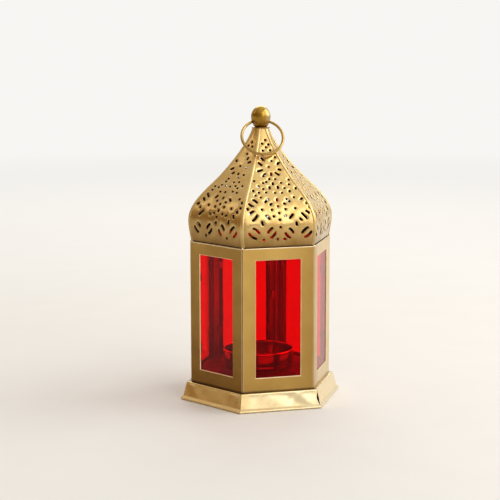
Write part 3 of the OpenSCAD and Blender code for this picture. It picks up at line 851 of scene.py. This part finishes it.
def ring_mesh():
    """Ring of drawn wire bent by hand, its butt joint hidden in the ball."""
    around, about = 144, 16
    points = []
    for i in range(around):
        a = 2 * math.pi * i / around
        x, y = math.cos(a), math.sin(a)
        bend = 0.07 * ripple(3 * x, 3 * y, 1, 2.0)
        twist = 0.10 * ripple(3 * x, 3 * y, 9, 2.4)
        wire = WIRE_R * (1 - 0.03 * (1 + ripple(9 * x, 9 * y, 4, 1.5)))
        wire -= JOINT_DIP if abs(a - math.pi / 2) < 0.03 else 0
        for k in range(about):
            b = 2 * math.pi * k / about
            radius = RING_R + bend + wire * math.cos(b)
            points.append((radius * x, twist + wire * math.sin(b), radius * y))
    faces = grid_faces(around, about, closed=True)
    last = (around - 1) * about
    faces += [(last + k, last + (k + 1) % about, (k + 1) % about, k)
              for k in range(about)]
    lean = Matrix.Rotation(-RING_TURN, 3, "Z") @ Matrix.Rotation(-RING_LEAN, 3, "X")
    pivot = Vector((0, 0, HOLE_Z))
    return [pivot + lean @ (Vector(p) + Vector((0, 0, -RING_OFF))) for p in points], faces


def cup_mesh():
    """Spun cup: stepped foot, plain wall and a rolled rim, whose points are given back for a
    painted highlight.
    """
    wall, rim_z, bead = 22.1, 11.95, 0.65
    outline = [(0.01, 0), (20.6, 0), (21.1, 0.12), (21.35, 0.6), (21.45, 2.0),
               (21.6, 2.35), (22.0, 2.5), (22.2, 2.7), (22.18, 3.0), (22.1, 3.4),
               (22.08, 4.4), (wall, 6.8), (wall, 9.2), (wall, 11.3)]
    rim_row = len(outline)
    for i in range(13):
        a = math.radians(-150 + 25 * i)
        outline.append((wall + 0.15 + bead * math.cos(a), rim_z + bead * math.sin(a)))
    highlight_rows = range(rim_row, len(outline) - 1)
    outline += [(21.5, 11.4), (21.5, 7.5), (21.5, 4), (21.4, 3.2), (20.9, 2.4),
                (20.8, 0.9), (20.4, 0.6), (0.01, 0.6)]

    def spun(angle, height):
        return 0.035 * ripple(12 * math.cos(angle), 12 * math.sin(angle), height, 7)

    steps = 120
    points, faces = lathe(outline, steps, spun)
    bright = {row * steps + i for row in highlight_rows for i in range(steps)}
    faces.append(tuple(range(steps)))
    faces.append(tuple(range(len(points) - steps, len(points))))
    return [(x - CUP_OFF, y, z + TRAY_TOP) for x, y, z in points], faces, bright


def top_lip_mesh():
    """Rounded lip that closes the top edge of one wall, thin at its two ends."""
    half_run = BODY_R / 2 - 0.9
    columns, about = 49, 10
    middle = columns // 2
    points = []
    for c in range(columns):
        x = half_run * (-1 + 2 * c / (columns - 1))
        taper = min(1, (middle + 0.6 - abs(c - middle)) / 1.5)
        thick = 0.42 * (1 + 0.1 * ripple(x, 2, 2, 5)) * taper
        sag = 0.06 * ripple(x, 7, 1, 9)
        for k in range(about):
            a = 2 * math.pi * k / about
            points.append((x, -(WALL_A - 0.28) - thick * math.cos(a),
                           WALL_TOP - 0.35 + sag + thick * math.sin(a)))
    faces = grid_faces(columns, about, closed=True)
    faces += [tuple(range(about)), tuple(range(len(points) - about, len(points)))]
    return points, faces


SOLDER_SIZE = 0.75


def solder_mesh(reach, angle, height, seed):
    """One flattened bead of solder on a corner."""
    work = bmesh.new()
    bmesh.ops.create_icosphere(work, subdivisions=3, radius=1)
    points = []
    for v in work.verts:
        p = v.co * (1 + 0.18 * noise.noise(v.co * 1.6 + Vector((seed, 0, 0))))
        points.append((p.x * SOLDER_SIZE, p.y * SOLDER_SIZE * 0.9, p.z * SOLDER_SIZE * 0.7))
    faces = [tuple(v.index for v in f.verts) for f in work.faces]
    work.free()
    centre = Vector((reach * math.sin(angle), -reach * math.cos(angle), height))
    return [centre + Vector(p) for p in points], faces


# ---- materials --------------------------------------------------------------

# Painted shade: dark brown that stands in for shade and for reflections of dark surroundings
PAINTED_SHADE = (0.21, 0.10, 0.014)
# Painted shade: near black for the shadow lines where two parts meet
CREVICE_SHADE = (0.05, 0.025, 0.01)
# Painted highlight: pale gold for the sides that face the light on the right
PAINTED_HIGHLIGHT = (0.95, 0.78, 0.47)

# Painted shadow line along the foot of the walls, where they meet the skirt
WALL_FOOT_SHADE = ("Z", SKIRT_H + 1.3, SKIRT_H + 0.3, 0.65, CREVICE_SHADE)


def wall_brass(name, coat, *bands):
    """Brushed sheet with upright grain, with a painted shadow line along its foot where it
    meets the skirt.
    """
    return brass(name, (0.65, 0.415, 0.112), (0.60, 0.375, 0.097), 0.36,
                 blotch=22, wave=16, wave_h=0.2, grain=0.5, grain_h=0.006,
                 grain_stretch=(1, 1, 0.06), tarnish_amount=0.1, coat=coat,
                 shade=painted_light_bands(*bands, WALL_FOOT_SHADE))


# Painted shade and highlight: darker towards the foot and on the right of the front wall,
# paler on the right wall
wall_look = wall_brass("wall_brass", 0.3,
                       ("Z", WALL_TOP, SKIRT_H, 0.3, PAINTED_SHADE),
                       ("X", 6, 21, 0.3, PAINTED_SHADE), ("X", 22, 30, 0.6, PAINTED_HIGHLIGHT))
# Painted shade: a darker copy of the wall brass for the left walls, darker still towards the
# foot
shaded_wall_look = wall_brass("shaded_wall_brass", 0.15,
                            ("X", -10, -11, 0.45, PAINTED_SHADE),
                            ("Z", WALL_TOP + 2, SKIRT_H + 4, 1.0, PAINTED_SHADE))
# Painted shade and light: darker towards the foot, the neck and the left, paler on the right,
# with a painted shadow line along the foot
dome_look = brass("dome_brass", (0.93, 0.66, 0.27), (0.80, 0.53, 0.18), 0.24,
                  blotch=8, wave=3.5, wave_h=0.05, tarnish_amount=0.25,
                  coat=0.3,
                  shade=painted_light_bands(("Z", DOME_BASE + 20, DOME_BASE, 0.92, PAINTED_SHADE),
                             ("Z", DOME_BASE + 58, DOME_BASE + DOME_H, 0.45, PAINTED_SHADE),
                             ("X", -10, -34, 0.3, PAINTED_SHADE), ("X", 18, 44, 0.5, PAINTED_HIGHLIGHT),
                             ("Z", DOME_BASE + 1.2, DOME_BASE, 0.5, CREVICE_SHADE)))
# Painted shade: the dome's inside made nearly black, for the shade within it
dark_inside_look = brass("dome_inside", (0.075, 0.042, 0.02), (0.03, 0.017, 0.01), 0.6,
                  blotch=8, wave=3.5, wave_h=0.05, tarnish_amount=0.4, metal=0.4)
# Painted shade: the ridge beads darker towards the dome's foot
ridge_look = brass("ridge_brass", (0.81, 0.61, 0.28), (0.74, 0.52, 0.21), 0.34,
                   blotch=7, wave=5, wave_h=0.02, grain_h=0.002, tarnish_amount=0.12,
                   shade=painted_light_bands(("Z", DOME_BASE + 16, DOME_BASE + 2, 0.6, PAINTED_SHADE)))
# Painted highlight: pale brass for the cut edges of the windows, the wall lips and the corner
# solder, for the bright lines on them
edge_highlight_look = brass("edge_highlight_brass", (0.94, 0.78, 0.52), (0.86, 0.66, 0.38), 0.34,
                  blotch=7, wave=5, wave_h=0.02, grain_h=0.002, tarnish_amount=0.1)
# Painted light and shade: a deeper orange reflection on the left, a painted shadow line on
# the ledge under the walls, paler on the right
skirt_look = brass("skirt_brass", (0.96, 0.80, 0.49), (0.91, 0.72, 0.39), 0.23,
                   blotch=16, wave=9, wave_h=0.05, grain_h=0.001, tarnish_amount=0.04,
                   shade=painted_light_bands(("X", -16, -30, 0.5, (0.74, 0.44, 0.10)),
                              ("Z", SKIRT_H - 0.12, SKIRT_H - 0.02, 0.75, CREVICE_SHADE),
                              ("X", 23.5, 27, 0.8, PAINTED_HIGHLIGHT)))
# Painted light and shade: paler on the right, darker on the left and on the lower half
ball_look = brass("ball_brass", (0.64, 0.39, 0.07), (0.46, 0.26, 0.035), 0.2,
                  blotch=4, wave=2.4, wave_h=0.05, grain_h=0.002, tarnish_amount=0.2,
                  shade=painted_light_bands(("X", 1, 5, 0.6, PAINTED_HIGHLIGHT), ("X", -1, -5, 0.35, PAINTED_SHADE),
                             ("Z", BALL_MID + 1, BALL_MID - 3, 0.8, PAINTED_SHADE)))
# Painted shade: the ring darker towards its lowest part
ring_look = brass("ring_brass", (0.72, 0.49, 0.17), (0.58, 0.38, 0.11), 0.18,
                  blotch=5, wave=3, wave_h=0.02, grain_h=0.002, tarnish_amount=0.12,
                  shade=painted_light_bands(("Z", HOLE_Z - 8, HOLE_Z - 22, 0.6, PAINTED_SHADE)))
# Painted shade: dark brass for the tray and seat plate, which lie in the shade inside the
# lantern
shaded_inner_look = brass("inner_brass", (0.17, 0.105, 0.04), (0.10, 0.06, 0.02), 0.5,
                   blotch=9, wave=7, wave_h=0.1, tarnish_amount=0.4, metal=0.5)
cup_look = brass("cup_brass", (0.46, 0.33, 0.16), (0.36, 0.25, 0.11), 0.13,
                 blotch=14, wave=9, wave_h=0.03, grain=0.4, grain_h=0.002,
                 grain_stretch=(0.1, 0.1, 1), tarnish_amount=0.08)
fitting_look = brass("fitting_brass", (0.46, 0.29, 0.085), (0.34, 0.20, 0.05), 0.3,
                     blotch=4, wave=2, wave_h=0.03, tarnish_amount=0.35)
# Painted highlight: near-white brass on the cup's rolled rim, for the bright line along it
cup_rim_highlight_look = brass("cup_rim_highlight", (0.97, 0.90, 0.80), (0.93, 0.85, 0.72), 0.1,
                 blotch=5, wave=4, wave_h=0.01, grain_h=0.001, tarnish_amount=0.05)
glass_look = red_glass()


# ---- pieces -----------------------------------------------------------------

DOOR = 3                # the rear wall
HIDDEN_CORNERS = (3, 4)
# Left walls, which take the darker painted-shade copy of the wall brass
SHADED_SIDES = (5, 6)


def gore(n):
    """Pierced and beaten gore, bright outside and nearly black inside, a painted shade."""
    punch = SMALL_PUNCH if n in REAR_GORES else 1.0
    points, faces, inside_from = gore_mesh(marks_on(n), punch, 13.0 * n)
    piece = make_piece("pierced_gore_%d" % (n + 1), turned(points, 60 * n), faces,
                       dome_look, "lantern", inside=dark_inside_look,
                       inside_from=inside_from)
    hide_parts("dome_gore_%d" % (n + 1))


def ridge_bead(n):
    points, faces = ridge_mesh(7.0 * n)
    piece = make_piece("ridge_bead_%d" % (n + 1), turned(points, 60 * n + 30), faces,
                       ridge_look, "lantern")
    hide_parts("ridge_strip_%d" % (n + 1))


def skirt_side(n):
    """Skirt plate: the mitre to the right of the front plate stands open."""
    slit_right = 1.3 if n == 0 else CLOSED
    slit_left = 0.8 if n == 1 else CLOSED
    points, faces = skirt_mesh(n, slit_left, slit_right)
    piece = make_piece("skirt_side_%d" % (n + 1), turned(points, 60 * n), faces,
                       skirt_look, "lantern")
    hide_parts("skirt_plate_%d" % (n + 1))


def corner_solder(n):
    points, faces = solder_mesh(BODY_R - 0.7, math.radians(60 * n - 30), WALL_TOP + 0.1, n)
    make_piece("corner_solder_%d" % (n + 1), points, faces, edge_highlight_look, "lantern")


def top_lip(n):
    points, faces = top_lip_mesh()
    make_piece("top_lip_%d" % (n + 1), turned(points, 60 * n), faces, edge_highlight_look,
               "door" if n == DOOR else "lantern")


def beaten_ball():
    points, faces = ball_mesh()
    piece = make_piece("beaten_ball", points, faces, ball_look, "lantern")
    drill_ball(piece)
    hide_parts("finial_ball")


def wire_ring():
    points, faces = ring_mesh()
    piece = make_piece("wire_ring", points, faces, ring_look, "ring")
    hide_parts("carry_ring")


def spun_cup():
    """Cup with its rolled rim painted paler than the wall, a painted highlight."""
    points, faces, bright = cup_mesh()
    piece = make_piece("spun_cup", points, faces, cup_look, "lantern")
    piece.data.materials.append(cup_rim_highlight_look)
    for polygon in piece.data.polygons:
        if polygon.index in bright:
            polygon.material_index = 1
    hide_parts("candle_cup")


for n in range(6):
    gore(n)
    ridge_bead(n)
    skirt_side(n)
    if n not in HIDDEN_CORNERS:
        corner_solder(n)
    top_lip(n)
beaten_ball()
wire_ring()
spun_cup()

for side, node in ((1, "wall_frame_1"), (2, "wall_frame_2"), (3, "wall_frame_3"),
                   (4, "door_frame"), (5, "wall_frame_5"), (6, "wall_frame_6")):
    look = shaded_wall_look if side in SHADED_SIDES else wall_look
    softened(node, look, cut_edge_highlight=edge_highlight_look, side=side)
for node in ("glass_pane_1", "glass_pane_2", "glass_pane_3", "glass_pane_5",
             "glass_pane_6", "door_pane"):
    softened(node, glass_look, width=0.25)
for node in ("neck_cap", "pane_clips", "door_clips", "hinge_wall_leaves",
             "hinge_door_leaves", "hinge_pins", "catch_knob", "catch_tongue"):
    softened(node, fitting_look, width=0.06)
for node in ("base_tray", "seat_plate"):
    softened(node, shaded_inner_look, width=0.08)


# ---- stage ------------------------------------------------------------------

# Colours and, in metres, the floor's half width and where it turns to the backdrop
BACKDROP = (0.93, 0.92, 0.90)
FLOOR = (0.86, 0.85, 0.83)
FLOOR_HALF = 12
NEAR, FAR = 0.3, 1.6
FLOOR_THROUGH_GLASS = 0.85
LIT_WAY = (0.85, 0.15, 0.5)
LIT_ROOM = (0.84, 0.83, 0.80)
DIM_ROOM = (0.30, 0.18, 0.06)
WARM_WHITE = (1.0, 0.98, 0.95)


def floor_material():
    """Plain pale surface that fades to the backdrop away from the lantern."""
    material, tree = new_material("floor_pale")
    grain = cloud(tree, place(tree), 40, 2)
    tone = blend(tree, scale_range(tree, grain, 0.3, 0.7), FLOOR,
                 tuple(0.985 * c for c in FLOOR))
    matt = tree.add("ShaderNodeBsdfPrincipled", {},
                    {"Base Color": tone, "Roughness": 0.9, "Specular IOR Level": 0.1})
    plain = tree.add("ShaderNodeEmission", {}, {"Color": BACKDROP, "Strength": 1.0})
    ray = tree.add("ShaderNodeLightPath", {}, {})
    where = tree.add("ShaderNodeTexCoord", {}, {}, out="Object")
    away = tree.add("ShaderNodeVectorMath", {"operation": "LENGTH"}, {0: where},
                    out="Value")
    far = scale_range(tree, away, NEAR, FAR)
    through = ray.out("Is Transmission Ray") * FLOOR_THROUGH_GLASS
    white = (ray.out("Is Camera Ray") * far).most(through)
    end(tree, tree.add("ShaderNodeMixShader", {}, {0: white, 1: matt, 2: plain}))
    return material


def make_floor():
    work = bmesh.new()
    bmesh.ops.create_grid(work, x_segments=24, y_segments=24, size=FLOOR_HALF)
    mesh = bpy.data.meshes.new("studio_floor")
    work.to_mesh(mesh)
    work.free()
    mesh.materials.append(floor_material())
    floor = bpy.data.objects.new("studio_floor", mesh)
    floor.location = (0, 0, -0.0002)
    bpy.context.scene.collection.objects.link(floor)


def make_world():
    """Pale room: plain to the eye and through glass, lit from the right for the metal."""
    world = bpy.data.worlds.new("pale_room")
    world.use_nodes = True
    bpy.context.scene.world = world
    tree = Nodes(world.node_tree)
    where = tree.add("ShaderNodeTexCoord", {}, {}, out="Generated")
    side = tree.add("ShaderNodeVectorMath", {"operation": "DOT_PRODUCT"},
                    {0: where, 1: LIT_WAY}, out="Value")
    level = scale_range(tree, side, -0.7, 0.6)
    room = blend(tree, level, DIM_ROOM, LIT_ROOM)
    ray = tree.add("ShaderNodeLightPath", {}, {})
    seen = ray.out("Is Camera Ray").most(ray.out("Is Transmission Ray"))
    tone = blend(tree, seen, room, BACKDROP)
    sky = tree.add("ShaderNodeBackground", {}, {"Color": tone, "Strength": 1.0})
    tree.add("ShaderNodeOutputWorld", {}, {"Surface": sky})


def direction(azimuth, elevation):
    """Unit vector from the lantern: azimuth 0 is the front, in degrees."""
    a, e = math.radians(azimuth), math.radians(elevation)
    return Vector((math.sin(a) * math.cos(e), -math.cos(a) * math.cos(e), math.sin(e)))


def add_softbox(name, azimuth, elevation, distance, size, power, colour):
    """Area lamp aimed at the lantern's middle."""
    out = direction(azimuth, elevation)
    lamp = bpy.data.lights.new(name, "AREA")
    lamp.shape = "RECTANGLE"
    lamp.size, lamp.size_y = size
    lamp.energy = power
    lamp.color = colour
    piece = bpy.data.objects.new(name, lamp)
    target = Vector((0, 0, 0.09))
    piece.location = target + out * distance
    piece.rotation_euler = (-out).to_track_quat("-Z", "Y").to_euler()
    bpy.context.scene.collection.objects.link(piece)


def make_camera():
    """Long lens a little above the lantern, left of its front wall."""
    distance = 1.0324
    target = Vector((0, 0, 0.08667))
    back = direction(-15.8, 9.8)
    data = bpy.data.cameras.new("view")
    data.sensor_width = 36
    data.lens = 113.81
    data.shift_x = -0.0217
    data.shift_y = 0.0286
    data.clip_start = 0.05
    camera = bpy.data.objects.new("view", data)
    camera.location = target + back * distance
    camera.rotation_euler = (-back).to_track_quat("-Z", "Y").to_euler()
    bpy.context.scene.collection.objects.link(camera)
    bpy.context.scene.camera = camera


make_floor()
make_world()
add_softbox("right_window", 78, 34, 1.2, (1.0, 1.0), 6.0, WARM_WHITE)
add_softbox("rear_window", 165, 32, 1.3, (0.9, 0.6), 3.4, WARM_WHITE)
add_softbox("front_window", 21, 29, 1.3, (0.75, 1.05), 2.6, (1.0, 0.97, 0.95))
add_softbox("left_window", -112, 34, 1.2, (0.4, 0.4), 0.3, (1.0, 0.95, 0.88))
make_camera()
bpy.context.scene.view_settings.view_transform = "Standard"
